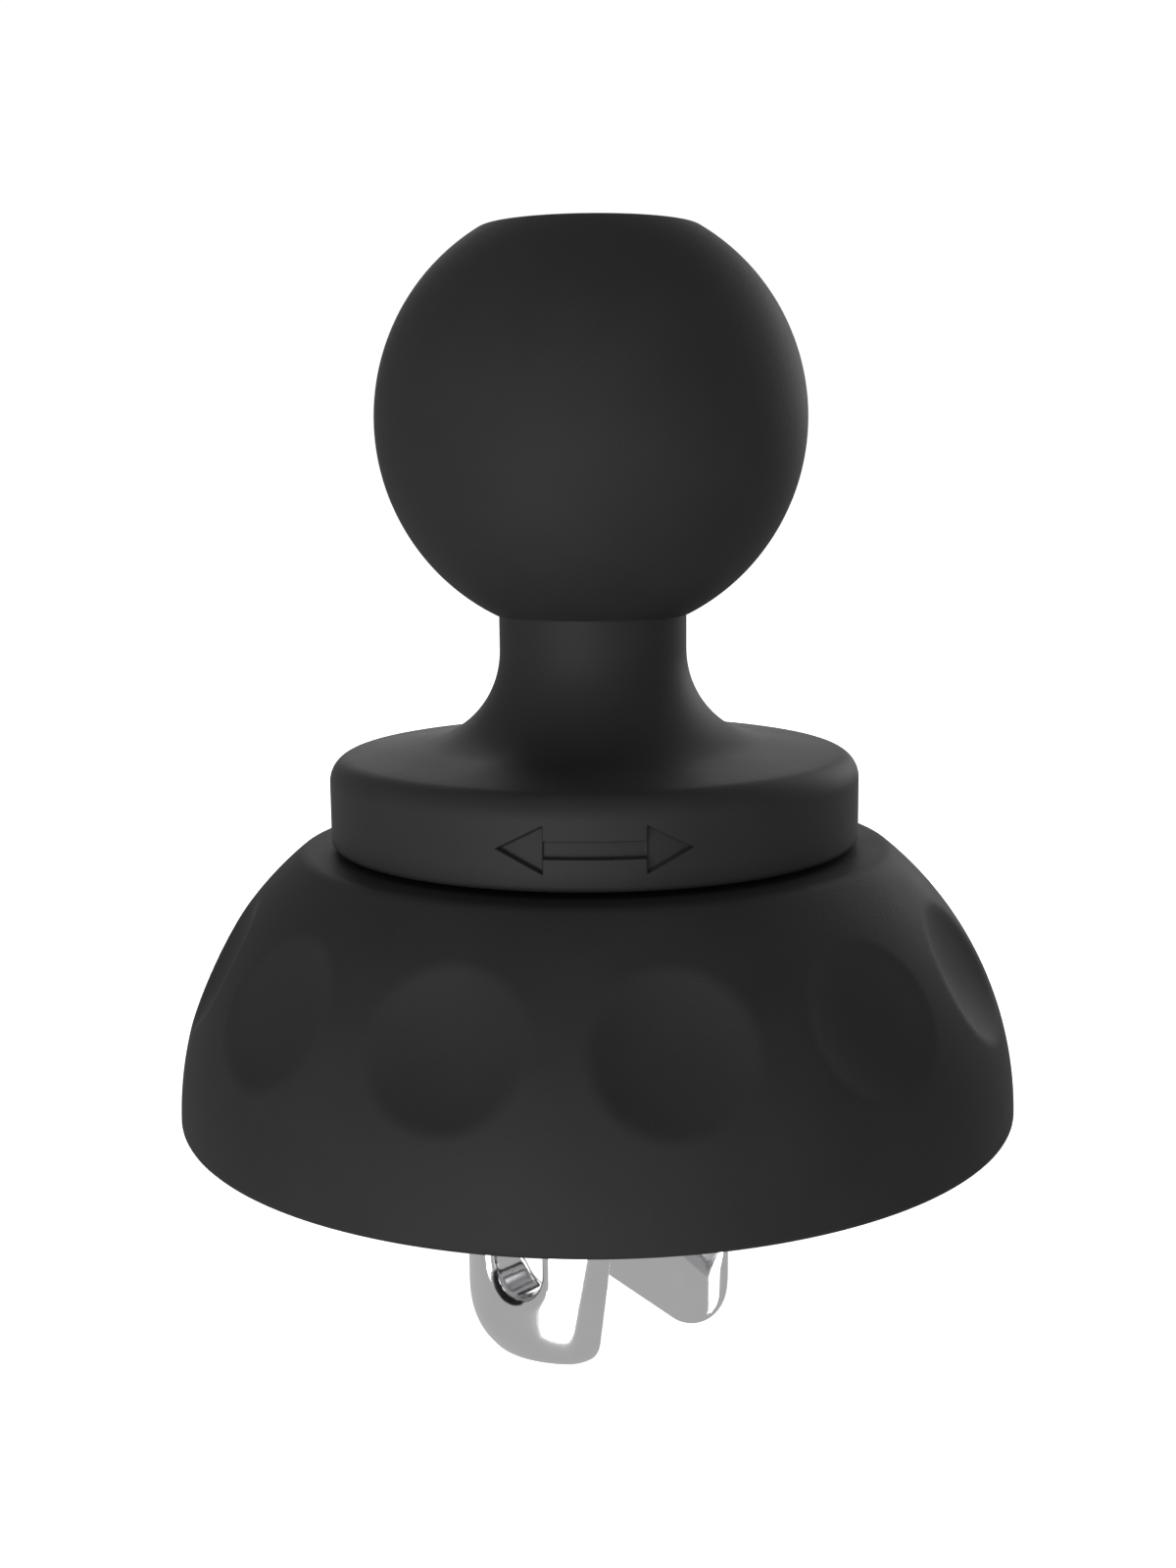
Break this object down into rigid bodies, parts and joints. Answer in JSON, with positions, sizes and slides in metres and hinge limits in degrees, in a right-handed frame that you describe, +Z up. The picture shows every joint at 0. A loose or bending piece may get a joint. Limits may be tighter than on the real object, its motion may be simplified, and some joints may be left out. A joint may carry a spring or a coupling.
{
  "type": "twist-lock ball mount adapter",
  "caption": "Rubber mounting ball on a collared post, with a twist-lock hook head for a recessed crossbar and a dimpled hand knob that screws a rubber foot down to clamp it.",
  "frame": {"origin": "middle of the foot pad's face, where it rests on the deck around the recessed crossbar, with the knob right up", "axes": "+Z up along the stud towards the ball, -Y towards the front of the collar with the turn arrow"},
  "size_m": [0.0508, 0.0508, 0.0683],
  "materials": {
    "ball_rubber": "matte, fine moulded grain",
    "post_nylon": "matte glass-filled nylon",
    "grip_rubber": "matte soft-touch",
    "shell_nylon": "matte moulded nylon",
    "foot_nylon": "matte moulded nylon",
    "pad_rubber": "matte rubber",
    "seal_rubber": "smooth rubber",
    "slip_nylon": "smooth acetal",
    "polished_steel": "polished stainless steel",
    "stud_steel": "rolled stainless thread",
    "fastener_steel": "satin stainless steel",
    "insert_brass": "turned brass"
  },
  "bodies": {
    "post": {"ball_skin": "ball_rubber", "post_core": "post_nylon", "stud": "stud_steel", "stud_nut": "fastener_steel", "lock_washer": "fastener_steel", "collar_plate": "fastener_steel", "plate_screws": "fastener_steel", "hook_head": "polished_steel", "hook_pin": "fastener_steel"},
    "foot": {"foot_ring": "foot_nylon", "foot_pad": "pad_rubber", "thrust_washer": "fastener_steel", "foot_clip": "fastener_steel"},
    "knob": {"knob_shell": "shell_nylon", "knob_grip": "grip_rubber", "thread_insert": "insert_brass", "insert_screws": "fastener_steel", "slip_ring": "slip_nylon", "stud_seal": "seal_rubber"}
  },
  "joints": [
    {"name": "foot_travel", "type": "slide", "parent": "post", "child": "foot", "axis": [0, 0, -1], "range_m": [0, 0.005]},
    {"name": "knob_turn", "type": "hinge", "parent": "foot", "child": "knob", "pos_m": [0, 0, 0.008], "axis": [0, 0, -1], "range_deg": [0, 1440]}
  ],
  "couplings": [
    {"joint": "foot_travel", "follows": "knob_turn", "m_per_rad": 0.00019894}
  ]
}
